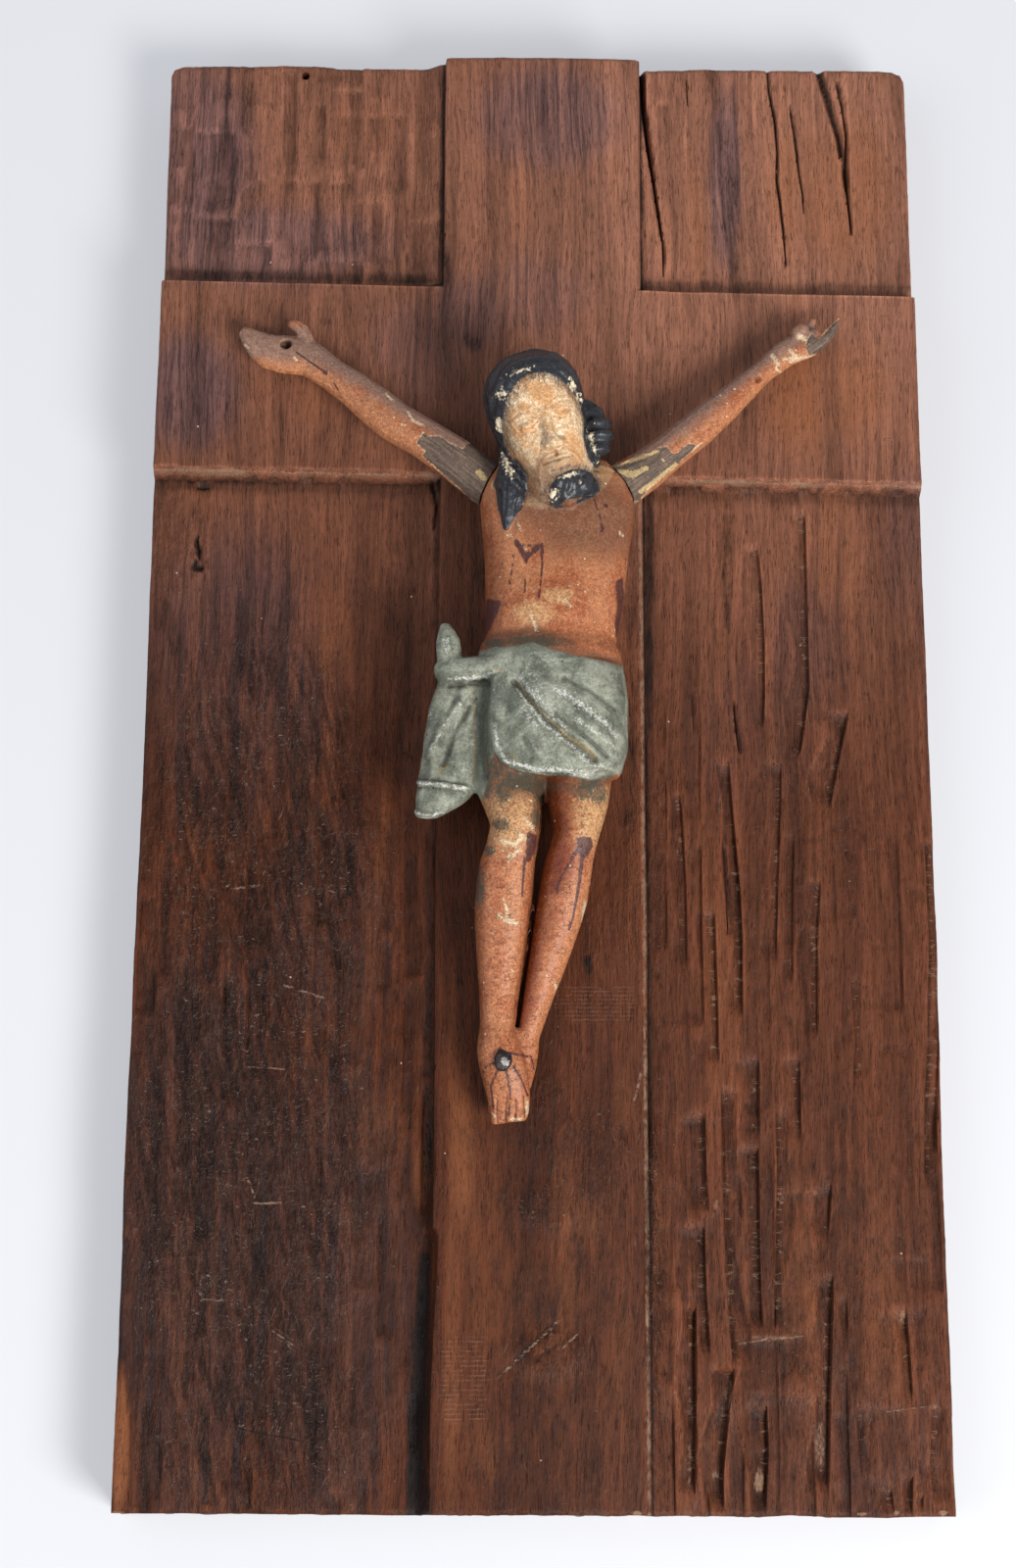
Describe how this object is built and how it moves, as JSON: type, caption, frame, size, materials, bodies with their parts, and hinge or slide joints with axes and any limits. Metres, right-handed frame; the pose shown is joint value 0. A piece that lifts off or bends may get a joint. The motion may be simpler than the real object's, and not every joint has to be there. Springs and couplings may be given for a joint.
{
  "type": "crucifix corpus figure on a relief cross panel",
  "caption": "Carved and painted wooden crucifix figure with separate outstretched arms and a foot nail, fixed on a thick plank with a cross in low relief; it lies on its flat back.",
  "frame": {"origin": "centre of the plank's flat underside, at its middle both ways", "axes": "+Z out of the carved front, +Y along the plank towards the figure's head, +X to the viewer's right, which is the figure's left"},
  "size_m": [0.362, 0.69, 0.1153],
  "materials": {
    "dark_hardwood": "oiled dark red-brown hardwood, satin, tool-marked and worn",
    "painted_wood": "aged paint on gesso over carved wood, satin, cracked and worn",
    "iron": "dark forged iron, rubbed bright on top"
  },
  "bodies": {
    "root": {"cross_panel": "dark_hardwood", "corpus_body": "painted_wood", "right_arm": "painted_wood", "left_arm": "painted_wood", "foot_nail": "iron"}
  },
  "joints": []
}
